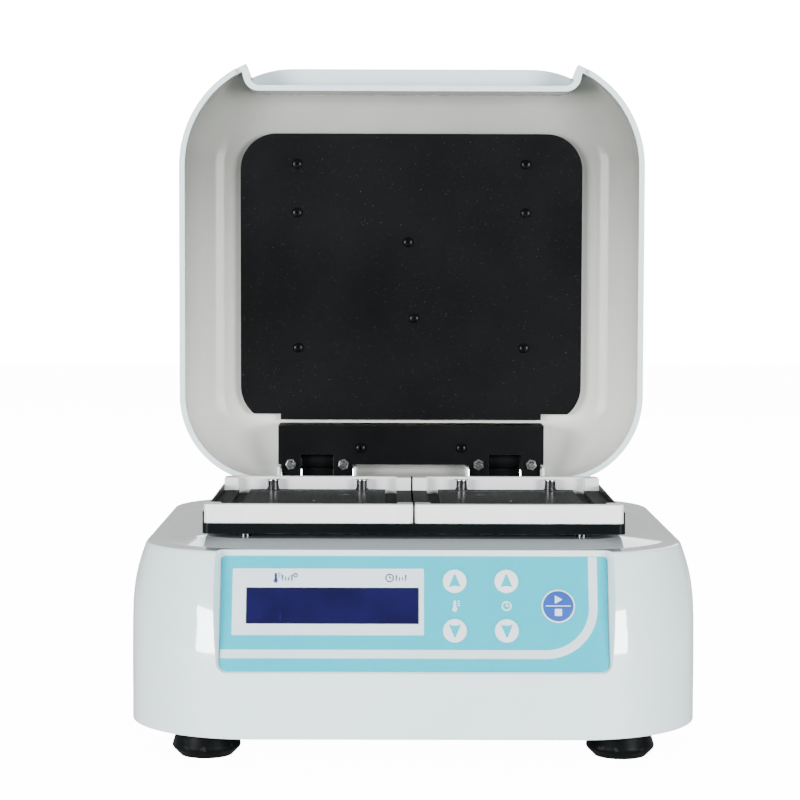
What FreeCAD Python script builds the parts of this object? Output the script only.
import FreeCAD, Part
import math
import os
import types

import Sketcher

# A bench-top dry heater for two microplates, with a hinged lid, at its real size in millimetres.
# +X is the user's right, +Y points to the back and +Z is up.  The origin is on the bench, at the
# centre of the whole unit's footprint.  The lid is drawn open, at right angles to the deck.

doc = FreeCAD.newDocument("DryBlockHeater")
sheet = doc.addObject("Spreadsheet::Sheet", "Sizes")

DRIVING = {
    # Casing: heights, half width, front and back faces, and the crease where the deck begins.
    "casing_base": 14.8, "crease_height": 102.0, "crown_height": 104.9, "casing_wall": 3.0,
    "casing_half": 139.3, "crease_half": 132.6,
    "front_face": 137.5, "front_crease": 121.5, "back_face": 135.0, "back_crease": 127.5,
    "side_spring": 69.0, "front_spring": 46.0,
    "corner_low": 62.0, "corner_high": 50.0, "crease_round": 1.2,
    "crown_half": 127.6, "crown_front": 112.3, "crown_back": 93.0, "crown_round": 54.0,
    "top_half": 103.6, "top_front": 93.5, "top_back": 60.0, "top_round": 21.0,
    # Control panel: lean from the vertical, centre of its floor, and the sizes of what it carries.
    "panel_lean": 19.5, "panel_back": -124.43, "panel_height": 72.75,
    "overlay_width": 184.4, "overlay_length": 55.8, "overlay_thick": 0.6, "overlay_round": 4.2,
    "panel_gap": 0.5, "panel_flare": 5.2, "panel_backing": 3.0, "panel_reach": 14.0,
    "window_x": -39.0, "panel_row": 3.75, "window_width": 82.4, "window_length": 17.6,
    "bezel_width": 98.0, "bezel_length": 24.0, "fit_gap": 0.3,
    "key_radius": 5.7, "start_radius": 7.3, "key_pitch": 23.9, "key_proud": 0.45,
    "key_flange": 0.9, "key_stem": 2.6, "key_travel": 0.5,
    "temp_key_x": 19.3, "time_key_x": 44.0, "start_key_x": 68.6,
    "board_depth": 9.6, "board_thick": 1.6,
    # Two plate positions side by side.
    "plate_width": 85.48, "plate_length": 127.76, "plate_play": 1.1,
    "block_width": 102.2, "block_split": 1.0, "block_front": 93.5, "block_back": 53.5,
    "block_top": 114.7, "block_base": 110.5, "groove_floor": 112.2, "pedestal_width": 74.0,
    "end_groove": 3.6, "rail_seat": 112.4, "rail_top": 121.7, "rail_thick": 5.0,
    "post_reach": 6.0, "post_width": 7.8, "rail_round": 2.6, "edge_round": 0.7,
    "pin_radius": 3.75, "pin_top": 120.9, "pin_pitch": 48.6,
    "hole_radius": 3.0, "hole_inset": 15.0, "hole_y": 19.2,
    # Pan under the two blocks.
    "pan_base": 107.2, "pan_skin": 0.8, "pan_floor": 108.3, "pan_upstand": 117.6,
    "joint_tab": 3.0,
    "standoff_x": 83.0, "standoff_front": 81.9, "standoff_back": 42.0, "standoff_radius": 3.0,
    # Lid, drawn open: its rim lies in an upright plane and its top faces the back.
    "hinge_y": 115.0, "hinge_z": 125.0, "rim_y": 92.5, "lid_depth": 42.0, "lid_half": 131.8,
    "lid_low": 113.5, "lid_high": 356.5, "lid_wall": 3.2, "lid_skin": 3.0,
    "lid_round_high": 63.0, "lid_round_low": 50.0, "lid_edge": 30.0,
    "grip_half": 90.5, "grip_lean": 5.0, "grip_low": 339.3, "grip_depth": 30.0, "grip_round": 5.5,
    "grip_relief": 2.9,
    "sweep_radius": 22.5,
    # Dark plate inside the lid and the bracket that joins the lid to its hinges.
    "liner_y": 126.5, "liner_thick": 1.5, "liner_half": 99.2, "liner_high": 313.8,
    "liner_low": 150.9, "liner_round": 21.0, "liner_tail": 4.8, "tab_half": 76.0, "tab_low": 147.5,
    "bracket_y": 102.5, "bracket_thick": 1.5, "bracket_half": 76.2, "bracket_low": 123.4,
    "bracket_high": 145.9, "leg_x": 53.9, "leg_half": 20.35, "leg_low": 114.5,
    "leg_slot": 9.4, "leg_slot_top": 129.2, "bolt_offset": 15.1, "bolt_z": 123.6,
    "knuckle_half": 9.0, "knuckle_radius": 6.0, "hinge_pin_radius": 2.5, "pin_play": 0.05,
    "flange_thick": 2.5, "web_half": 3.5, "ear_inner": 9.4, "ear_thick": 2.2, "leaf_thick": 2.0,
    "notch_half": 21.2, "notch_depth": 29.5, "cheek_thick": 1.4,
    # Feet and the parts on the back.
    "foot_x": 101.0, "foot_y": 99.5, "foot_radius": 17.0, "foot_top": 13.6, "foot_sole": 12.6,
    "foot_belly": 4.4, "cover_low": 15.3, "cover_thick": 1.5,
    "inlet_x": -58.0, "inlet_z": 42.0, "inlet_half": 14.3, "inlet_rise": 23.5,
    "inlet_flange": 2.2, "socket_z": 33.5, "socket_depth": 15.5, "drawer_z": 56.0,
    "switch_x": -24.0, "switch_z": 42.0, "rocker_tilt": 9.0,
}


class Size:
    """A length that is both a number and the spreadsheet expression that gives it."""

    def __init__(self, number, text):
        self.number = float(number)
        self.text = text

    def joined(self, sign, other, number):
        return Size(number, f"({self.text} {sign} {other.text})")

    def __add__(self, other):
        other = as_size(other)
        return self.joined("+", other, self.number + other.number)

    def __sub__(self, other):
        other = as_size(other)
        return self.joined("-", other, self.number - other.number)

    def __mul__(self, other):
        other = as_size(other)
        return self.joined("*", other, self.number * other.number)

    def __truediv__(self, other):
        other = as_size(other)
        return self.joined("/", other, self.number / other.number)

    def __radd__(self, other):
        return as_size(other) + self

    def __rsub__(self, other):
        return as_size(other) - self

    def __rmul__(self, other):
        return as_size(other) * self

    def __neg__(self):
        return as_size(0) - self


def as_size(value):
    return value if isinstance(value, Size) else Size(value, f"({float(value)})")


def root(size):
    return Size(math.sqrt(size.number), f"sqrt({size.text})")


for row, (alias, number) in enumerate(DRIVING.items(), start=1):
    sheet.set(f"A{row}", alias)
    sheet.set(f"B{row}", str(number))
    sheet.setAlias(f"B{row}", alias)
doc.recompute()
S = types.SimpleNamespace(
    **{alias: Size(sheet.get(alias), f"Sizes.{alias}") for alias in DRIVING}
)
SIDES = (("left", -1), ("right", 1))
finished = []


# ---------------------------------------------------------------- helpers

def bind(item, name, size):
    """Tie one property to the spreadsheet."""
    item.setExpression(name, as_size(size).text)


def place(item, x=0, y=0, z=0, turn=None):
    """Put an object at a point, turned by (axis, angle) where a turn is given."""
    if turn is not None:
        axis, angle = turn
        item.Placement.Rotation = FreeCAD.Rotation(FreeCAD.Vector(*axis), angle)
    for letter, size in zip("xyz", (x, y, z)):
        bind(item, f"Placement.Base.{letter}", size)
    return item


def block(name, x, y, z):
    """A box over three spans, each (low, high)."""
    item = doc.addObject("Part::Box", name)
    for prop, (low, high) in zip(("Length", "Width", "Height"), (x, y, z)):
        bind(item, prop, as_size(high) - low)
    return place(item, x[0], y[0], z[0])


TURNS = {"x": ((0, 1, 0), 90), "y": ((1, 0, 0), -90), "z": None}


def rod(name, radius, at, span, axis="z", tip=None):
    """A cylinder (or a cone, when tip gives its far radius) along an axis over span (low, high)."""
    kind = "Part::Cylinder" if tip is None else "Part::Cone"
    item = doc.addObject(kind, name)
    bind(item, "Height", as_size(span[1]) - span[0])
    bind(item, "Radius" if tip is None else "Radius1", radius)
    if tip is not None:
        bind(item, "Radius2", tip)
    across = iter(at)
    where = [span[0] if letter == axis else next(across) for letter in "xyz"]
    return place(item, *where, turn=TURNS[axis])


def fuse(name, *items):
    item = doc.addObject("Part::MultiFuse", name)
    item.Shapes = list(items)
    return item


def cut(name, base, *tools):
    item = doc.addObject("Part::Cut", name)
    item.Base = base
    item.Tool = tools[0] if len(tools) == 1 else fuse(f"{name}_tools", *tools)
    return item


def common(name, first, second):
    item = doc.addObject("Part::Common", name)
    item.Base = first
    item.Tool = second
    return item


def group(name, items):
    item = doc.addObject("Part::Compound", name)
    item.Links = list(items)
    return item


def rounded(name, base, radius, chosen):
    """Round the edges of base that chosen(edge) picks."""
    doc.recompute()
    item = doc.addObject("Part::Fillet", name)
    item.Base = base
    number = radius.number
    item.Edges = [
        (index, number, number)
        for index, edge in enumerate(base.Shape.Edges, start=1)
        if chosen(edge)
    ]
    return item


def node(item, name):
    """Name a finished sub-part."""
    item.Label = name
    finished.append(item)
    return item


def origin_plane(body, role):
    return next(part for part in body.Origin.OriginFeatures if part.Role == role)


def new_sketch(body, name, height=0):
    """A sketch parallel to the body's XY plane, at a height above it."""
    sketch = body.newObject("Sketcher::SketchObject", name)
    sketch.AttachmentSupport = [(origin_plane(body, "XY_Plane"), "")]
    sketch.MapMode = "FlatFace"
    bind(sketch, "AttachmentOffset.Base.z", height)
    return sketch


def held(sketch, kind, *where_and_size):
    """Add a constraint whose last argument is a Size, and tie it to the spreadsheet."""
    *where, size = where_and_size
    size = as_size(size)
    index = sketch.addConstraint(Sketcher.Constraint(kind, *where, size.number))
    sketch.setExpression(f"Constraints[{index}]", size.text)


def rounded_rectangle(sketch, left, right, low, high, round_low, round_high=None):
    """A rectangle about the sketch's origin: each side is given by its distance from it."""
    left, right, low, high = (as_size(size) for size in (left, right, low, high))
    round_low = as_size(round_low)
    round_high = round_low if round_high is None else as_size(round_high)
    corners = (
        (right.number, -low.number, -1, 1, round_low, 270),
        (right.number, high.number, -1, -1, round_high, 0),
        (-left.number, high.number, 1, -1, round_high, 90),
        (-left.number, -low.number, 1, 1, round_low, 180),
    )
    normal = FreeCAD.Vector(0, 0, 1)
    arcs = []
    for x, y, inward_x, inward_y, radius, start in corners:
        centre = FreeCAD.Vector(x + inward_x * radius.number, y + inward_y * radius.number, 0)
        circle = Part.Circle(centre, normal, radius.number)
        arc = Part.ArcOfCircle(circle, math.radians(start), math.radians(start + 90))
        arcs.append(sketch.addGeometry(arc))
    lines = []
    for index, arc in enumerate(arcs):
        following = arcs[(index + 1) % 4]
        begin = sketch.getPoint(arc, 2)
        end = sketch.getPoint(following, 1)
        lines.append(sketch.addGeometry(Part.LineSegment(begin, end)))
    for index, line in enumerate(lines):
        sketch.addConstraint(Sketcher.Constraint("Tangent", arcs[index], 2, line, 1))
        sketch.addConstraint(Sketcher.Constraint("Tangent", line, 2, arcs[(index + 1) % 4], 1))
        kind = "Vertical" if index % 2 == 0 else "Horizontal"
        sketch.addConstraint(Sketcher.Constraint(kind, line))
        held(sketch, "Radius", arcs[index], corners[index][4])
    held(sketch, "DistanceX", -1, 1, lines[0], 1, right)
    held(sketch, "DistanceY", -1, 1, lines[1], 1, high)
    held(sketch, "DistanceX", lines[2], 1, -1, 1, left)
    held(sketch, "DistanceY", lines[3], 1, -1, 1, low)


def padded(name, height, outline):
    """A body with one pad, and outline(sketch) to draw its sketch."""
    body = doc.addObject("PartDesign::Body", name)
    sketch = new_sketch(body, f"{name}_outline")
    outline(sketch)
    pad = body.newObject("PartDesign::Pad", f"{name}_pad")
    pad.Profile = sketch
    bind(pad, "Length", height)
    return body


def lofted(name, sections, ruled=False):
    """A body lofted through sections, each (height, rounded-rectangle arguments)."""
    body = doc.addObject("PartDesign::Body", name)
    sketches = []
    for index, (height, outline) in enumerate(sections):
        sketch = new_sketch(body, f"{name}_section_{index}", height)
        rounded_rectangle(sketch, *outline)
        sketches.append(sketch)
    loft = body.newObject("PartDesign::AdditiveLoft", f"{name}_loft")
    loft.Profile = sketches[0]
    loft.Sections = sketches[1:]
    loft.Ruled = ruled
    return body


def lean_on_panel(item):
    """Place an object drawn in the panel's own frame: X, up the slope, and out of the panel."""
    tilt = 90 - S.panel_lean.number
    return place(item, 0, S.panel_back, S.panel_height, turn=((1, 0, 0), tilt))


# ---------------------------------------------------------------- casing

def arc_inset(height, start, top, inset):
    """How far a wall has curved inwards at a height, on an arc that reaches inset at top."""
    if as_size(height).number <= start.number:
        return as_size(0)
    rise = top - start
    radius = (rise * rise + inset * inset) / (inset * 2)
    along = as_size(height) - start
    return radius - root(radius * radius - along * along)


def casing_section(height, shrink):
    """The casing's outline at a height, moved inwards by shrink."""
    side = arc_inset(height, S.side_spring, S.crease_height, S.casing_half - S.crease_half)
    front = arc_inset(height, S.front_spring, S.crease_height, S.front_face - S.front_crease)
    back = arc_inset(height, S.side_spring, S.crease_height, S.back_face - S.back_crease)
    share = side / (S.casing_half - S.crease_half)
    corner = S.corner_low - (S.corner_low - S.corner_high) * share - shrink
    half = S.casing_half - side - shrink
    return half, half, S.front_face - front - shrink, S.back_face - back - shrink, corner


CASING_STEPS = 8


def casing_loft(name, shrink, bottom, top):
    step = (top - bottom) / CASING_STEPS
    heights = [bottom + step * i for i in range(CASING_STEPS + 1)]
    return lofted(name, [(height, casing_section(height, shrink)) for height in heights])


def panel_pocket():
    """The recess that the overlay lies in, open at the deck."""
    half = S.overlay_width / 2 + S.panel_gap
    low = S.overlay_length / 2 + S.panel_gap
    floor = (half, half, low, low + 20, S.overlay_round)
    mouth = (half + S.panel_flare, half + S.panel_flare, low + 3, low + 20, S.overlay_round + 3)
    pocket = lofted("panel_pocket", [(0, floor), (S.panel_reach, mouth)], ruled=True)
    return lean_on_panel(pocket)


def on_panel(item):
    """Lean an item that is drawn with the panel's own X, slope and height."""
    return lean_on_panel(group(f"{item.Name}_leaned", [item]))


KEYS = (
    ("key_temp_up", S.temp_key_x, S.panel_row + S.key_pitch / 2, S.key_radius),
    ("key_temp_down", S.temp_key_x, S.panel_row - S.key_pitch / 2, S.key_radius),
    ("key_time_up", S.time_key_x, S.panel_row + S.key_pitch / 2, S.key_radius),
    ("key_time_down", S.time_key_x, S.panel_row - S.key_pitch / 2, S.key_radius),
    ("key_start_stop", S.start_key_x, S.panel_row, S.start_radius),
)


def centred(at, length):
    """The span of a length about a centre."""
    return (as_size(at) - as_size(length) / 2, as_size(at) + as_size(length) / 2)


def key_holes(name, low, high):
    return [
        rod(f"{name}_{key}", radius + S.fit_gap, (x, along), (low, high))
        for key, x, along, radius in KEYS
    ]


COLUMN = 5.0
COLUMNS = [(sx * 112, sy * 62) for sx in (-1, 1) for sy in (-1, 1)]
PILOT = 1.25


def make_casing():
    wall = S.casing_wall
    lip_low = S.crease_height - S.crease_round
    lip_mid = S.crease_height - S.crease_round * 0.3
    walls = casing_loft("casing_walls", as_size(0), S.casing_base, lip_low)
    lip = lofted("casing_lip", [
        (lip_low, casing_section(lip_low, as_size(0))),
        (lip_mid, casing_section(lip_mid, S.crease_round * 0.2)),
        (S.crease_height, casing_section(S.crease_height, S.crease_round * 0.8)),
    ], ruled=True)
    outer = fuse("casing_outer", walls, lip)
    cavity = casing_loft("casing_cavity", wall, S.casing_base, S.crease_height - wall)
    crown = lofted("deck_crown", [
        (S.crease_height, (S.crown_half, S.crown_half, S.crown_front, S.crown_back, S.crown_round)),
        (S.crown_height, (S.top_half, S.top_half, S.top_front, S.top_back, S.top_round)),
    ], ruled=True)
    shell = cut("casing_shell", outer, cavity)
    half = S.overlay_width / 2 + S.panel_flare + wall
    low = S.overlay_length / 2 + wall
    backing = on_panel(block("panel_backing", (-half, half), (-low - 1, low + 1),
                             (-S.panel_backing, 6)))
    inner_panel = common("panel_backing_inside", backing, outer)
    columns = [
        rod(f"casing_column_{i}", COLUMN, (x, y),
            (S.cover_low + S.cover_thick, S.crease_height - wall + 0.5))
        for i, (x, y) in enumerate(COLUMNS)
    ]
    blank = fuse("casing_blank", shell, inner_panel, crown, *columns)
    bezel = block("bezel_opening", centred(S.window_x, S.bezel_width + S.fit_gap * 2),
                  centred(S.panel_row, S.bezel_length + S.fit_gap * 2), (-S.panel_backing - 1, 1))
    panel_tools = on_panel(fuse("panel_holes", bezel, *key_holes("casing", -5, 1)))
    wall_span = (S.back_face - wall - 1, S.back_face + 1)
    inlet = block("inlet_hole", centred(S.inlet_x, (S.inlet_half - 1) * 2), wall_span,
                  centred(S.inlet_z, (S.inlet_rise - 1.5) * 2))
    switch = block("switch_hole", centred(S.switch_x, 13.6), wall_span, centred(S.switch_z, 19.6))
    vents = [
        block(f"vent_{i}", centred(8 + i * 9, 3), wall_span, centred(S.switch_z, 30))
        for i in range(7)
    ]
    pilots = [
        rod(f"pilot_{i}", PILOT, (x, y), (S.cover_low, S.cover_low + 12))
        for i, (x, y) in enumerate(COLUMNS)
    ]
    deck = (S.crease_height - wall - 1, S.crown_height + 1)
    tray_holes = [
        rod(f"tray_hole_{i}", 1.6, (sx * S.standoff_x, y), deck)
        for i, (sx, y) in enumerate(STANDOFFS)
    ]
    probe_holes = [
        rod(f"probe_hole_{side}", 3.0, (sign * block_x(), PROBE_Y), deck) for side, sign in SIDES
    ]
    hinge_holes = [
        rod(f"hinge_hole_{side}_{i}", 1.5, (sign * S.leg_x + dx, S.hinge_y), deck)
        for side, sign in SIDES for i, dx in enumerate((-14.5, 14.5))
    ]
    return node(cut("upper_casing_shape", blank, panel_pocket(), panel_tools, inlet, switch,
                    *vents, *pilots, *tray_holes, *probe_holes, *hinge_holes), "upper_casing")


def block_x():
    return (S.block_width + S.block_split) / 2


PROBE_Y = -11.2
STANDOFFS = [(sx, y) for sx in (-1, 1) for y in (-S.standoff_front, S.standoff_back)]


def make_bottom():
    wall = S.casing_wall
    inset = wall + S.fit_gap
    plate = padded("cover_plate", S.cover_thick, lambda sketch: rounded_rectangle(
        sketch, S.casing_half - inset, S.casing_half - inset, S.front_face - inset,
        S.back_face - inset, S.corner_low - inset))
    place(plate, z=S.cover_low)
    below = (S.cover_low - 1, S.cover_low + S.cover_thick + 1)
    holes = [rod(f"cover_hole_{i}", 1.7, (x, y), below) for i, (x, y) in enumerate(COLUMNS)]
    holes += [rod(f"foot_hole_{i}", 2.1, (x, y), below) for i, (x, y) in enumerate(FEET.values())]
    node(cut("bottom_cover_shape", plate, *holes), "bottom_cover")
    screws = []
    for i, (x, y) in enumerate(COLUMNS):
        head = rod(f"cover_screw_head_{i}", 2.8, (x, y), (S.cover_low - 2, S.cover_low))
        shank = rod(f"cover_screw_shank_{i}", PILOT, (x, y), (S.cover_low - 1, S.cover_low + 10))
        screws.append(fuse(f"cover_screw_{i}", head, shank))
    node(group("cover_screws_shape", screws), "cover_screws")


FEET = {
    f"foot_{end}_{side}": (sign * S.foot_x, way * S.foot_y)
    for end, way in (("front", -1), ("rear", 1)) for side, sign in SIDES
}


def make_feet():
    screws = []
    for name, at in FEET.items():
        sole = rod(f"{name}_sole", S.foot_sole, at, (0, S.foot_belly), tip=S.foot_radius)
        body = rod(f"{name}_body", S.foot_radius, at, (S.foot_belly, S.cover_low),
                   tip=S.foot_top)
        blank = fuse(f"{name}_blank", sole, body)
        belly = S.foot_belly.number
        smooth = rounded(f"{name}_round", blank, as_size(2.4),
                         lambda e: abs(e.BoundBox.ZMin - belly) < 0.01
                         and e.BoundBox.ZLength < 0.01)
        well = rod(f"{name}_well", 5.0, at, (-1, 6))
        bore = rod(f"{name}_bore", 2.1, at, (5, S.cover_low + 1))
        node(cut(f"{name}_shape", smooth, well, bore), name)
        head = rod(f"{name}_screw_head", 3.5, at, (3.4, 6))
        shank = rod(f"{name}_screw_shank", 1.95, at, (5, S.cover_low + S.cover_thick + 4))
        nut = rod(f"{name}_nut", 3.6, at,
                  (S.cover_low + S.cover_thick, S.cover_low + S.cover_thick + 3))
        screws.append(fuse(f"{name}_screw", head, shank, nut))
    node(group("foot_screws_shape", screws), "foot_screws")


# ---------------------------------------------------------------- control panel

def make_panel():
    half = S.overlay_width / 2
    low = S.overlay_length / 2
    sheet_body = padded("overlay_sheet", S.overlay_thick, lambda sketch: rounded_rectangle(
        sketch, half, half, low, low, S.overlay_round, 2))
    window = block("overlay_window", centred(S.window_x, S.window_width),
                   centred(S.panel_row, S.window_length), (-1, 2))
    node(on_panel(cut("front_overlay_shape", sheet_body, window, *key_holes("overlay", -1, 2))),
         "front_overlay")
    node(on_panel(block("display_window_shape", centred(S.window_x, S.window_width),
                        centred(S.panel_row, S.window_length), (0.1, S.overlay_thick - 0.1))),
         "display_window")
    face = block("lcd_bezel", centred(S.window_x, S.bezel_width),
                 centred(S.panel_row, S.bezel_length), (-6.3, -0.1))
    carrier = block("lcd_carrier", centred(S.window_x, 107), centred(S.panel_row, 37),
                    (-7.9, -6.3))
    node(on_panel(fuse("lcd_module_shape", face, carrier)), "lcd_module")
    board = (-S.board_depth - S.board_thick, -S.board_depth)
    node(on_panel(block("control_board_shape", (-92, 84), (-22, 24.6), board)), "control_board")
    posts = [
        rod(f"board_post_{i}", 2.2, at, (-S.board_depth, -S.panel_backing))
        for i, at in enumerate(((-88, -18.6), (-35, -18.6), (78, -18.6), (78, 21)))
    ]
    node(on_panel(group("board_standoffs_shape", posts)), "board_standoffs")
    switches = []
    for name, x, along, _ in KEYS:
        base = block(f"{name}_tact_base", centred(x, 6), centred(along, 6),
                     (-S.board_depth, -5.9))
        plunger = rod(f"{name}_tact_plunger", 1.7, (x, along), (-6, -5.2))
        switches.append(fuse(f"{name}_tact", base, plunger))
    node(on_panel(group("tact_switches_shape", switches)), "tact_switches")
    for name, x, along, radius in KEYS:
        cap = rod(f"{name}_cap", radius, (x, along),
                  (-S.panel_backing - 0.1, S.overlay_thick + S.key_proud))
        crown = rounded(f"{name}_crown", cap, as_size(0.4),
                        lambda e: e.BoundBox.ZMin > S.overlay_thick.number)
        flange = rod(f"{name}_flange", radius + S.key_flange, (x, along),
                     (-S.panel_backing - 0.9, -S.panel_backing - 0.1))
        stem = rod(f"{name}_stem", S.key_stem, (x, along), (-4.6, -S.panel_backing - 0.5))
        node(on_panel(fuse(f"{name}_shape", crown, flange, stem)), name)


# ---------------------------------------------------------------- plate positions

def make_blocks():
    half = S.block_width / 2
    seat = (S.plate_width + S.plate_play) / 2
    pedestal = S.pedestal_width / 2
    inner_front = S.block_front - S.rail_thick
    inner_back = S.block_back - S.rail_thick
    pin_y = inner_back - S.pin_radius - S.fit_gap * 2
    stop = pin_y - S.pin_radius
    for side, sign in SIDES:
        mid = sign * block_x()
        base = block(f"block_{side}_base", (mid - half, mid + half),
                     (-S.block_front, S.block_back), (S.block_base, S.block_top))
        above = (S.groove_floor, S.block_top + 1)
        seats = [
            block(f"block_{side}_seat_front", (mid - half - 1, mid + half + 1),
                  (-S.block_front - 1, -inner_front), (S.rail_seat, S.block_top + 1)),
            block(f"block_{side}_seat_back", (mid - half - 1, mid + half + 1),
                  (inner_back, S.block_back + 1), (S.rail_seat, S.block_top + 1)),
        ]
        grooves = [
            block(f"block_{side}_groove_{name}", (mid + x0, mid + x1),
                  (-inner_front, inner_back), above)
            for name, x0, x1 in (("a", -seat, -pedestal), ("b", pedestal, seat))
        ]
        grooves += [
            block(f"block_{side}_groove_front", (mid - seat, mid + seat),
                  (-inner_front, -inner_front + S.end_groove), above),
            block(f"block_{side}_groove_back", (mid - seat, mid + seat),
                  (stop - S.end_groove, stop + 0.2), above),
        ]
        hole = rod(f"block_{side}_hole", S.hole_radius,
                   (mid - sign * S.hole_inset, S.hole_y), (S.block_base + 1.2, S.block_top + 1))
        probe = rod(f"block_{side}_probe_hole", 2.05, (mid, PROBE_Y),
                    (S.block_base - 1, S.block_top - 1.4))
        tip = rod(f"block_{side}_tip_hole", 0.75, (mid, PROBE_Y),
                  (S.block_base - 1, S.block_top + 1))
        sockets = [
            rod(f"block_{side}_socket_{i}", 1.5, (mid + way * S.pin_pitch / 2, pin_y),
                (S.groove_floor - 0.5, S.block_top + 1)) for i, way in enumerate((-1, 1))
        ]
        corners = block(f"block_{side}_blank", (mid - half, mid + half),
                        (-S.block_front, S.block_back), (S.block_base, S.block_top + 12))
        outline = rounded(f"block_{side}_outline", corners, S.rail_round, upright(12))
        shape = cut(f"block_{side}_cut", base, *seats, *grooves, hole, probe, tip, *sockets)
        node(common(f"heating_block_{side}_shape", shape, outline), f"heating_block_{side}")
        for end, way, near, far in (("front", -1, S.block_front, inner_front),
                                    ("rear", 1, S.block_back, inner_back)):
            make_rail(side, end, mid, half, way * near, way * far, -way * S.post_reach)
        mat = block(f"heater_mat_{side}_sheet", (mid - half + 6, mid + half - 6),
                    (-S.block_front + 8, S.block_back - 8), (S.pan_floor - 0.1, S.block_base))
        well = rod(f"heater_mat_{side}_well", 2.6, (mid, PROBE_Y),
                   (S.pan_floor - 1, S.block_base + 1))
        node(cut(f"heater_mat_{side}_shape", mat, well), f"heater_mat_{side}")
    pins = []
    for side, sign in SIDES:
        for i, way in enumerate((-1, 1)):
            at = (sign * block_x() + way * S.pin_pitch / 2, pin_y)
            body = rod(f"pin_{side}_{i}_body", S.pin_radius, at, (S.block_top, S.pin_top))
            smooth = rounded(f"pin_{side}_{i}_round", body, as_size(0.5),
                             lambda e: e.BoundBox.ZMin > S.pin_top.number - 0.1)
            shank = rod(f"pin_{side}_{i}_shank", 1.5, at, (S.groove_floor - 0.5, S.block_top + 1))
            pins.append(fuse(f"pin_{side}_{i}", smooth, shank))
    node(group("locating_pins_shape", pins), "locating_pins")
    probes = []
    for side, sign in SIDES:
        at = (sign * block_x(), PROBE_Y)
        sleeve = rod(f"probe_{side}_sleeve", 2.0, at, (96, S.block_top - 1.5))
        tip = rod(f"probe_{side}_tip", 0.7, at, (S.block_top - 3, S.block_top + 0.1))
        probes.append(fuse(f"probe_{side}", sleeve, tip))
    node(group("temperature_probes_shape", probes), "temperature_probes")


def upright(least):
    """Picks vertical edges that are at least so long."""
    return lambda e: e.BoundBox.ZLength > least and e.BoundBox.XLength + e.BoundBox.YLength < 0.01


def make_rail(side, end, mid, half, near, far, reach):
    """An end rail of a plate position: a bar with a post at each corner."""
    low, high = sorted((near, far), key=lambda size: size.number)
    bar = block(f"{end}_rail_{side}_bar", (mid - half, mid + half), (low, high),
                (S.rail_seat, S.rail_top))
    posts = []
    for i, (x0, x1) in enumerate(((-half, -half + S.post_width), (half - S.post_width, half))):
        ends = sorted((near, far + reach), key=lambda size: size.number)
        posts.append(block(f"{end}_rail_{side}_post_{i}", (mid + x0, mid + x1), tuple(ends),
                           (S.block_top, S.rail_top)))
    joined = fuse(f"{end}_rail_{side}_joined", bar, *posts)
    outer = near.number

    def is_corner(e):
        box = e.BoundBox
        return (box.ZLength > 5 and box.XLength + box.YLength < 0.01
                and abs(box.YMin - outer) < 0.01)

    def is_top(e):
        return e.BoundBox.ZMin > S.rail_top.number - 0.01

    corner = rounded(f"{end}_rail_{side}_corner", joined, S.rail_round, is_corner)
    node(rounded(f"{end}_rail_{side}_shape", corner, S.edge_round, is_top), f"{end}_rail_{side}")


def make_pan():
    grow = S.pan_skin + 0.1
    half = S.block_width + S.block_split / 2 + grow
    front = S.block_front + grow
    back = S.block_back + grow
    corner = S.rail_round + grow

    def slab(name, trim, height):
        return padded(name, height, lambda sketch: rounded_rectangle(
            sketch, half - trim, half - trim, front - trim, back - trim, corner - trim))

    outer = place(slab("pan_outer", as_size(0), S.pan_upstand - S.pan_base), z=S.pan_base)
    inner = place(slab("pan_inner", S.pan_skin, as_size(20)), z=S.pan_floor - 0.1)
    wide = (-half - 1, half + 1)
    above = (S.rail_seat - 0.1, S.pan_upstand + 1)
    trims = [
        block("pan_trim_front", wide, (-front - 1, -S.block_front + S.rail_round + 1), above),
        block("pan_trim_back", wide, (S.block_back - S.rail_round - 1, back + 1), above),
    ]
    holes = [
        rod(f"pan_hole_{i}", 1.6, (sx * S.standoff_x, y), (S.pan_base - 1, S.pan_floor + 1))
        for i, (sx, y) in enumerate(STANDOFFS)
    ]
    holes += [
        rod(f"pan_probe_hole_{side}", 2.6, (sign * block_x(), PROBE_Y),
            (S.pan_base - 1, S.pan_floor + 1)) for side, sign in SIDES
    ]
    tab = block("pan_joint_tab", (-S.joint_tab, S.joint_tab), (back - S.pan_skin, back),
                (S.rail_seat - 1, S.rail_top - 0.5))
    tray = cut("carrier_pan_tray", outer, inner, *trims, *holes)
    node(fuse("carrier_pan_shape", tray, tab), "carrier_pan")
    spacers = []
    for i, (sx, y) in enumerate(STANDOFFS):
        at = (sx * S.standoff_x, y)
        spacer = rod(f"pan_spacer_{i}", S.standoff_radius, at, (S.crown_height, S.pan_base))
        screw = rod(f"pan_screw_{i}", 1.5, at, (S.crease_height - 8, S.pan_floor - 0.1))
        nut = rod(f"pan_nut_{i}", 3.0, at, (S.crease_height - 6, S.crease_height - 3))
        spacers.append(fuse(f"pan_fixing_{i}", spacer, screw, nut))
    node(group("pan_standoffs_shape", spacers), "pan_standoffs")


# ---------------------------------------------------------------- lid

def lid_outline(sketch, trim):
    half = S.lid_half - trim
    rise = (S.lid_high - S.lid_low) / 2 - trim
    # The sketch's low side becomes the lid's high side when the body is stood upright.
    rounded_rectangle(sketch, half, half, rise, rise, S.lid_round_high - trim,
                      S.lid_round_low - trim)


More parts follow.
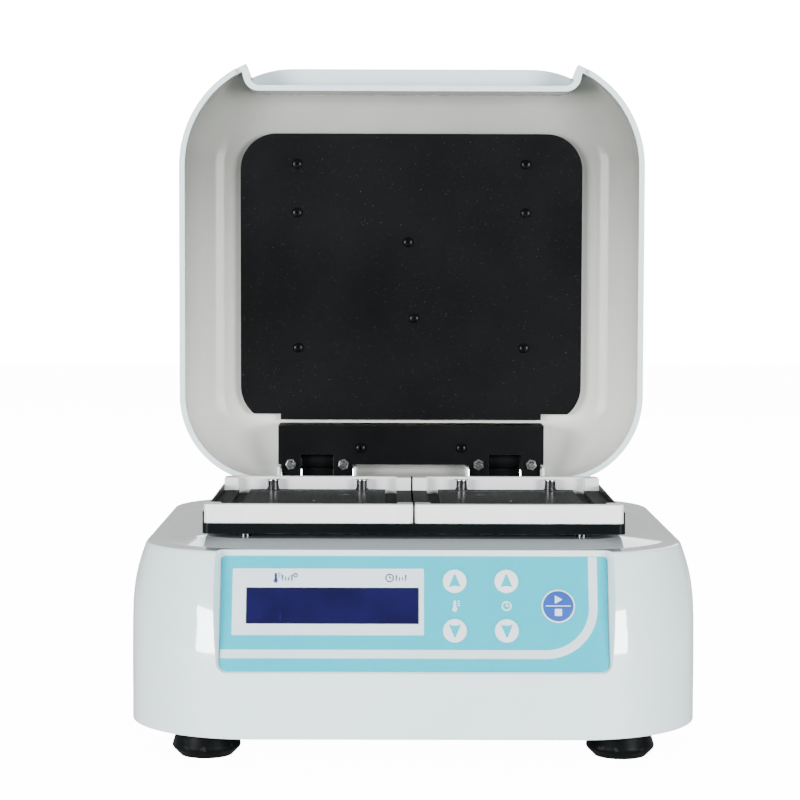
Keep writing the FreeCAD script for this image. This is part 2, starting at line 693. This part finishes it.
def upright_body(name, trim, depth, edge):
    """A lid-shaped solid behind the rim plane, with a full round along its far edge."""
    body = padded(name, depth, lambda sketch: lid_outline(sketch, trim))
    pad = body.Tip
    doc.recompute()
    far = depth.number
    names = [
        f"Edge{index}" for index, e in enumerate(pad.Shape.Edges, start=1)
        if e.BoundBox.ZMin > far - 0.01
    ]
    fillet = body.newObject("PartDesign::Fillet", f"{name}_round")
    fillet.Base = (pad, names)
    bind(fillet, "Radius", edge)
    # The pad grows along its own +Z, which is turned to point to the back of the machine.
    place(body, y=S.rim_y, z=(S.lid_high + S.lid_low) / 2, turn=((1, 0, 0), -90))
    return body


LINER_SCREWS = [
    (-66.4, 296.2), (66.4, 296.2), (-66.4, 268.0), (66.4, 268.0),
    (-1.9, 251.0), (1.7, 206.8), (-65.8, 189.5), (65.8, 189.5),
]
BRACKET_SCREWS = [(-28.9, 132.9), (28.9, 132.9)]


def grip_prism(name, inset, depth, drop):
    """The finger recess, or the same shape grown by inset to leave a wall round it."""
    half = S.grip_half + inset
    top = S.grip_half + S.grip_lean + inset
    rise = S.lid_high - S.grip_low + inset
    body = doc.addObject("PartDesign::Body", name)
    sketch = new_sketch(body, f"{name}_outline")
    mirror = ((-top, rise), (-half, 0), (half, 0), (top, rise))
    points = [FreeCAD.Vector(as_size(x).number, as_size(y).number, 0) for x, y in mirror]
    lines = [
        sketch.addGeometry(Part.LineSegment(points[i], points[(i + 1) % 4])) for i in range(4)
    ]
    for i, line in enumerate(lines):
        sketch.addConstraint(
            Sketcher.Constraint("Coincident", line, 2, lines[(i + 1) % 4], 1))
    sketch.addConstraint(Sketcher.Constraint("Horizontal", lines[1]))
    sketch.addConstraint(Sketcher.Constraint("Horizontal", lines[3]))
    sketch.addConstraint(Sketcher.Constraint("PointOnObject", lines[1], 1, -1))
    held(sketch, "DistanceX", lines[1], 1, -1, 1, half)
    held(sketch, "DistanceX", -1, 1, lines[1], 2, half)
    held(sketch, "DistanceX", lines[0], 1, -1, 1, top)
    held(sketch, "DistanceX", -1, 1, lines[3], 1, top)
    held(sketch, "DistanceY", -1, 1, lines[3], 1, rise)
    pad = body.newObject("PartDesign::Pad", f"{name}_pad")
    pad.Profile = sketch
    bind(pad, "Length", depth)
    doc.recompute()
    names = [
        f"Edge{i}" for i, e in enumerate(pad.Shape.Edges, start=1)
        if e.BoundBox.ZLength > 1 and e.BoundBox.YMax < 0.01
    ]
    fillet = body.newObject("PartDesign::Fillet", f"{name}_round")
    fillet.Base = (pad, names)
    bind(fillet, "Radius", S.grip_round + inset)
    return place(body, y=S.rim_y - drop, z=S.grip_low - inset, turn=((1, 0, 0), 90))


def make_lid():
    skin_y = S.rim_y + S.lid_depth - S.lid_skin
    outer = upright_body("lid_outer", as_size(0), S.lid_depth, S.lid_edge)
    inner = upright_body("lid_inner", S.lid_wall, S.lid_depth - S.lid_skin,
                         S.lid_edge - S.lid_wall)
    hollow = cut("lid_hollow", outer, inner)
    grown = grip_prism("grip_wall", S.lid_wall, S.lid_depth - 1, 1 - S.lid_depth)
    grip_wall = common("grip_wall_inside", grown, outer)
    recess = grip_prism("grip_recess", as_size(0), S.grip_depth + 5, -S.grip_depth)
    bosses = [
        rod(f"liner_boss_{i}", 4.0, at, (S.liner_y + S.liner_thick, skin_y + 0.5), axis="y")
        for i, at in enumerate(LINER_SCREWS)
    ]
    bosses += [
        rod(f"bracket_boss_{i}", 4.0, at, (S.bracket_y + S.bracket_thick, skin_y + 0.5), axis="y")
        for i, at in enumerate(BRACKET_SCREWS)
    ]
    notch_end = S.rim_y + S.notch_depth
    cheeks = []
    notches = []
    for side, sign in SIDES:
        mid = sign * S.leg_x
        for i, way in enumerate((-1, 1)):
            near = mid + way * S.notch_half
            span = sorted((near, near + way * S.cheek_thick), key=lambda size: size.number)
            cheeks.append(block(f"notch_cheek_{side}_{i}", tuple(span),
                                (S.rim_y + 5.5, notch_end + 2), (S.lid_low + 1, S.bracket_low - 1)))
        notches.append(block(f"hinge_notch_{side}", (mid - S.notch_half, mid + S.notch_half),
                             (S.rim_y - 1, notch_end), (S.lid_low - 1, S.lid_low + 13)))
    ribs = common("notch_cheeks_inside", fuse("notch_cheeks", *cheeks), outer)
    blank = fuse("lid_blank", hollow, grip_wall, ribs, *bosses)
    corner = block("sweep_corner", (-S.lid_half - 1, S.lid_half + 1),
                   (S.rim_y - 1, S.hinge_y), (S.lid_low - 1, S.hinge_z))
    roll = rod("sweep_roll", S.sweep_radius, (S.hinge_y, S.hinge_z),
               (-S.lid_half - 2, S.lid_half + 2), axis="x")
    relief = cut("sweep_relief", corner, roll)
    # The wall round the finger recess stops short of the rim, to clear the crowned deck.
    wide = S.grip_half + S.grip_lean + S.lid_wall + 1
    lifted = block("grip_relief", (-wide, wide), (S.rim_y - 1, S.rim_y + S.grip_relief),
                   (S.grip_low - S.lid_wall - 0.5, S.lid_high + 1))
    pilots = [
        rod(f"liner_pilot_{i}", 1.5, at, (S.liner_y, skin_y + 1.6), axis="y")
        for i, at in enumerate(LINER_SCREWS)
    ]
    pilots += [
        rod(f"bracket_pilot_{i}", 1.5, at, (S.bracket_y, S.bracket_y + 14), axis="y")
        for i, at in enumerate(BRACKET_SCREWS)
    ]
    node(cut("lid_shell_shape", blank, recess, relief, lifted, *notches, *pilots), "lid_shell")


def make_liner():
    rise = (S.liner_high - S.liner_low + S.liner_tail) / 2
    half = S.liner_half
    sheet_body = padded("liner_sheet", S.liner_thick, lambda sketch: rounded_rectangle(
        sketch, half, half, rise, rise, S.liner_round))
    middle = (S.liner_high + S.liner_low - S.liner_tail) / 2
    place(sheet_body, y=S.liner_y, z=middle, turn=((1, 0, 0), -90))
    span = (S.liner_y, S.liner_y + S.liner_thick)
    trim = block("liner_trim", (-half - 1, half + 1), (S.liner_y - 1, S.liner_y + 3),
                 (S.liner_low - 20, S.liner_low))
    tab = block("liner_tab", (-S.tab_half, S.tab_half), span, (S.tab_low, S.liner_low + 1))
    joined = fuse("liner_joined", cut("liner_trimmed", sheet_body, trim), tab)
    holes = [
        rod(f"liner_hole_{i}", 1.7, at, (S.liner_y - 1, S.liner_y + 3), axis="y")
        for i, at in enumerate(LINER_SCREWS)
    ]
    node(cut("lid_liner_shape", joined, *holes), "lid_liner")
    pad_span = (S.liner_y + S.liner_thick + 0.2, S.rim_y + S.lid_depth - S.lid_skin - 0.3)
    foam = block("lid_foam", (-88, 88), pad_span, (S.liner_low + 6, S.liner_high - 12))
    wells = [
        rod(f"foam_hole_{i}", 4.4, at, (S.liner_y, S.liner_y + 8), axis="y")
        for i, at in enumerate(LINER_SCREWS)
    ]
    node(cut("lid_insulation_shape", foam, *wells), "lid_insulation")
    node(group("liner_screws_shape", [
        pan_screw(f"liner_screw_{i}", at, S.liner_y, 6.2) for i, at in enumerate(LINER_SCREWS)
    ]), "liner_screws")


def pan_screw(name, at, face, length):
    """A small pan-head screw driven towards the back into a face."""
    head = rod(f"{name}_head", 2.8, at, (face - 1.8, face), axis="y")
    smooth = rounded(f"{name}_round", head, as_size(0.8),
                     lambda e: e.BoundBox.YMax < face.number - 1.7)
    shank = rod(f"{name}_shank", 1.5, at, (face - 0.5, face + length), axis="y")
    return fuse(name, smooth, shank)


def make_bracket():
    face = (S.bracket_y, S.bracket_y + S.bracket_thick)
    half = S.bracket_half
    web = block("bracket_web", (-half, half), face, (S.bracket_low, S.bracket_high))
    shelf = block("bracket_shelf", (-half, half), (S.bracket_y, S.liner_y - 0.2),
                  (S.bracket_high - S.bracket_thick, S.bracket_high))
    legs = []
    slots = []
    for side, sign in SIDES:
        mid = sign * S.leg_x
        legs.append(block(f"bracket_leg_{side}", (mid - S.leg_half, mid + S.leg_half), face,
                          (S.leg_low, S.bracket_low + 1)))
        slots.append(block(f"bracket_slot_{side}", (mid - S.leg_slot, mid + S.leg_slot),
                           (S.bracket_y - 1, S.bracket_y + 3), (S.leg_low - 1, S.leg_slot_top)))
    joined = fuse("bracket_joined", web, shelf, *legs)
    holes = [
        rod(f"bracket_hole_{i}", 1.7, at, (S.bracket_y - 1, S.bracket_y + 3), axis="y")
        for i, at in enumerate(BRACKET_SCREWS)
    ]
    holes += [
        rod(f"bracket_bolt_hole_{i}", 1.55, at, (S.bracket_y - 1, S.bracket_y + 3), axis="y")
        for i, at in enumerate(bolt_points())
    ]
    node(cut("lid_bracket_shape", joined, *slots, *holes), "lid_bracket")
    node(group("bracket_screws_shape", [
        pan_screw(f"bracket_screw_{i}", at, S.bracket_y, 12)
        for i, at in enumerate(BRACKET_SCREWS)
    ]), "bracket_screws")


def bolt_points():
    return [
        (sign * S.leg_x + way * S.bolt_offset, S.bolt_z) for _, sign in SIDES for way in (-1, 1)
    ]


def make_hinges():
    leaf_y = S.bracket_y + S.bracket_thick
    leaf_back = leaf_y + S.leaf_thick
    flange_low = S.crease_height
    flange_top = flange_low + S.flange_thick
    washers = []
    for side, sign in SIDES:
        mid = sign * S.leg_x
        flange = block(f"base_flange_{side}", (mid - S.leg_half, mid + S.leg_half),
                       (S.hinge_y - 9.5, S.hinge_y + 9.5), (flange_low, flange_top))
        web = block(f"base_web_{side}", (mid - S.knuckle_half, mid + S.knuckle_half),
                    (S.hinge_y - S.web_half, S.hinge_y + S.web_half), (flange_low, S.hinge_z))
        knuckle = rod(f"base_knuckle_{side}", S.knuckle_radius, (S.hinge_y, S.hinge_z),
                      (mid - S.knuckle_half, mid + S.knuckle_half), axis="x")
        bore = rod(f"base_bore_{side}", S.hinge_pin_radius + S.pin_play, (S.hinge_y, S.hinge_z),
                   (mid - 20, mid + 20), axis="x")
        holes = [
            rod(f"base_hole_{side}_{i}", 1.7, (mid + dx, S.hinge_y), (flange_low - 1, flange_top + 1))
            for i, dx in enumerate((-14.5, 14.5))
        ]
        base = fuse(f"base_blank_{side}", flange, web, knuckle)
        node(cut(f"hinge_base_{side}_shape", base, bore, *holes), f"hinge_base_{side}")
        plate = block(f"leaf_plate_{side}", (mid - S.leg_half, mid + S.leg_half),
                      (leaf_y, leaf_back), (S.bolt_z - 5, S.leg_slot_top + 6))
        slot = block(f"leaf_slot_{side}", (mid - S.ear_inner, mid + S.ear_inner),
                     (leaf_y - 1, leaf_back + 1), (S.bolt_z - 6, S.leg_slot_top))
        ears = []
        for i, way in enumerate((-1, 1)):
            near = mid + way * S.ear_inner
            span = sorted((near, near + way * S.ear_thick), key=lambda size: size.number)
            arm = block(f"ear_arm_{side}_{i}", tuple(span), (leaf_y, S.hinge_y),
                        (S.hinge_z - 5, S.hinge_z + 5))
            eye = rod(f"ear_eye_{side}_{i}", 5.0, (S.hinge_y, S.hinge_z), tuple(span), axis="x")
            ears.append(fuse(f"ear_{side}_{i}", arm, eye))
            disc = sorted((mid + way * (S.knuckle_half + 0.05), mid + way * (S.ear_inner - 0.05)),
                          key=lambda size: size.number)
            washer = rod(f"washer_{side}_{i}", 5.5, (S.hinge_y, S.hinge_z), tuple(disc), axis="x")
            eyelet = rod(f"washer_bore_{side}_{i}", S.hinge_pin_radius + S.pin_play,
                         (S.hinge_y, S.hinge_z), (mid - 20, mid + 20), axis="x")
            washers.append(cut(f"washer_cut_{side}_{i}", washer, eyelet))
        pin_hole = rod(f"leaf_bore_{side}", S.hinge_pin_radius, (S.hinge_y, S.hinge_z),
                       (mid - 20, mid + 20), axis="x")
        bolt_holes = [
            rod(f"leaf_hole_{side}_{i}", 1.55, (mid + way * S.bolt_offset, S.bolt_z),
                (leaf_y - 1, leaf_back + 1), axis="y") for i, way in enumerate((-1, 1))
        ]
        leaf = cut(f"leaf_trimmed_{side}", plate, slot)
        node(cut(f"hinge_leaf_{side}_shape", fuse(f"leaf_blank_{side}", leaf, *ears), pin_hole,
                 *bolt_holes), f"hinge_leaf_{side}")
        reach = S.ear_inner + S.ear_thick
        node(rod(f"hinge_pin_{side}_shape", S.hinge_pin_radius, (S.hinge_y, S.hinge_z),
                 (mid - reach - 0.6, mid + reach + 0.6), axis="x"), f"hinge_pin_{side}")
    node(group("friction_washers_shape", washers), "friction_washers")
    screws = []
    for side, sign in SIDES:
        for i, dx in enumerate((-14.5, 14.5)):
            at = (sign * S.leg_x + dx, S.hinge_y)
            head = rod(f"base_screw_head_{side}_{i}", 2.8, at, (flange_top, flange_top + 1.8))
            shank = rod(f"base_screw_shank_{side}_{i}", 1.5, at,
                        (S.crease_height - 9, flange_top + 0.5))
            nut = rod(f"base_screw_nut_{side}_{i}", 3.0, at,
                      (S.crease_height - 5.4, S.crease_height - 3))
            screws.append(fuse(f"base_screw_{side}_{i}", head, shank, nut))
    node(group("hinge_base_screws_shape", screws), "hinge_base_screws")
    bolts = []
    nuts = []
    for i, at in enumerate(bolt_points()):
        head = rod(f"hinge_bolt_head_{i}", 2.7, at, (leaf_back, leaf_back + 2), axis="y")
        shank = rod(f"hinge_bolt_shank_{i}", 1.5, at, (S.bracket_y - 3.4, leaf_back + 1), axis="y")
        bolts.append(fuse(f"hinge_bolt_{i}", head, shank))
        nut = doc.addObject("Part::Prism", f"hinge_nut_prism_{i}")
        nut.Polygon = 6
        nut.Circumradius = 3.25
        nut.Height = 2.4
        place(nut, at[0], S.bracket_y - 2.4, at[1], turn=((1, 0, 0), -90))
        thread = rod(f"hinge_nut_thread_{i}", 1.5, at, (S.bracket_y - 4, S.bracket_y + 1), axis="y")
        nuts.append(cut(f"hinge_nut_{i}", nut, thread))
    node(group("hinge_bolts_shape", bolts), "hinge_bolts")
    node(group("hinge_nuts_shape", nuts), "hinge_nuts")


# ---------------------------------------------------------------- mains parts

def make_mains():
    skin = (S.back_face, S.back_face + S.inlet_flange)
    flange = block("inlet_flange", centred(S.inlet_x, S.inlet_half * 2), skin,
                   centred(S.inlet_z, S.inlet_rise * 2))
    smooth = rounded("inlet_flange_round", flange, as_size(2.0),
                     lambda e: e.BoundBox.YLength > 2 and e.BoundBox.XLength < 0.01
                     and e.BoundBox.ZLength < 0.01)
    deep = (S.back_face - 21, S.back_face + 1)
    body = block("inlet_body", centred(S.inlet_x, (S.inlet_half - 1.2) * 2), deep,
                 centred(S.inlet_z, (S.inlet_rise - 1.7) * 2))
    mouth = (skin[1] - S.socket_depth, skin[1] + 1)
    socket = block("inlet_socket", centred(S.inlet_x, 24.4), mouth, centred(S.socket_z, 16.6))
    trimmed = rounded("inlet_socket_shape", socket, as_size(4.0),
                      lambda e: e.BoundBox.YLength > 5 and e.BoundBox.XLength < 0.01
                      and e.BoundBox.ZMin < S.socket_z.number)
    slot = block("drawer_slot", centred(S.inlet_x, 22.6), (S.back_face - 19.6, skin[1] + 1),
                 centred(S.drawer_z, 11.2))
    node(cut("power_inlet_shape", fuse("inlet_blank", smooth, body), trimmed, slot), "power_inlet")
    prongs = [
        block(f"inlet_prong_{i}", centred(S.inlet_x + dx, w), (S.back_face - 24, skin[1] - 3),
              centred(S.socket_z + dz, tall))
        for i, (dx, dz, w, tall) in enumerate(((-7, -1.5, 2, 4), (7, -1.5, 2, 4), (0, 2.6, 4, 2)))
    ]
    node(group("inlet_prongs_shape", prongs), "inlet_prongs")
    tray = block("drawer_tray", centred(S.inlet_x, 22), (S.back_face - 19, skin[1] + 0.6),
                 centred(S.drawer_z, 10.6))
    lip = block("drawer_lip", centred(S.inlet_x, 12), (skin[1], skin[1] + 2.2),
                centred(S.drawer_z - 3.9, 2.4))
    wells = [
        block(f"fuse_well_{i}", centred(S.inlet_x + dx, 6.2), (S.back_face - 18, S.back_face + 0.4),
              (S.drawer_z - 3.6, S.drawer_z + 6)) for i, dx in enumerate((-5, 5))
    ]
    node(cut("fuse_drawer_shape", fuse("drawer_blank", tray, lip), *wells), "fuse_drawer")
    fuses = [
        rod(f"fuse_{i}", 2.5, (S.inlet_x + dx, S.drawer_z - 0.9),
            (S.back_face - 17.8, S.back_face + 0.2), axis="y") for i, dx in enumerate((-5, 5))
    ]
    node(group("fuses_shape", fuses), "fuses")
    bezel = block("switch_bezel", centred(S.switch_x, 15.4), (S.back_face, S.back_face + 1.6),
                  centred(S.switch_z, 21.4))
    shell = block("switch_shell", centred(S.switch_x, 13.2), (S.back_face - 13, S.back_face + 1),
                  centred(S.switch_z, 19.2))
    well = block("switch_well", centred(S.switch_x, 11.4), (S.back_face - 7, S.back_face + 3),
                 centred(S.switch_z, 18.0))
    bore = rod("trunnion_bore", 1.25, (S.back_face, S.switch_z),
               centred(S.switch_x, 12.9), axis="x")
    node(cut("switch_housing_shape", fuse("switch_blank", bezel, shell), well, bore),
         "switch_housing")
    cap = block("rocker_cap", (-5.4, 5.4), (-4, 3.2), (-8.1, 8.1))
    curved = rounded("rocker_round", cap, as_size(0.8), lambda e: e.BoundBox.YMin > 3.1)
    rocker = fuse("rocker_shape", curved, rod("rocker_trunnions", 1.2, (0, 0), (-6.3, 6.3),
                                              axis="x"))
    turned = place(rocker, S.switch_x, S.back_face, S.switch_z,
                   turn=((1, 0, 0), S.rocker_tilt.number))
    node(turned, "power_rocker")
    floor = S.cover_low + S.cover_thick
    node(block("power_board_shape", (-52, 62), (0, 88), (floor + 8, floor + 9.6)), "power_board")
    posts = [
        rod(f"power_post_{i}", 2.5, at, (floor, floor + 8))
        for i, at in enumerate(((-47, 5), (57, 5), (-47, 83), (57, 83)))
    ]
    node(group("power_posts_shape", posts), "power_posts")
    core = block("transformer_frame", (-10, 46), (24, 64), (floor + 9.6, floor + 56))
    window = block("transformer_window", (4, 32), (20, 70), (floor + 19, floor + 46.5))
    node(cut("transformer_core_shape", core, window), "transformer_core")
    node(block("transformer_coil_shape", (4.2, 31.8), (16, 72), (floor + 19.2, floor + 46.3)),
         "transformer_coil")


make_casing()
make_bottom()
make_feet()
make_panel()
make_pan()
make_blocks()
make_lid()
make_liner()
make_bracket()
make_hinges()
make_mains()
doc.recompute()

faults = [
    item.Name for item in doc.Objects
    if "Invalid" in item.State or "Error" in item.State
]
faults += [
    item.Label for item in finished
    if item.Shape.isNull() or not item.Shape.isValid() or item.Shape.Volume <= 0
]
if faults:
    raise SystemExit(f"failed: {faults}")
os.makedirs("parts", exist_ok=True)
for item in finished:
    item.Shape.exportStep(os.path.join("parts", f"{item.Label}.step"))
print(len(finished), "parts written")
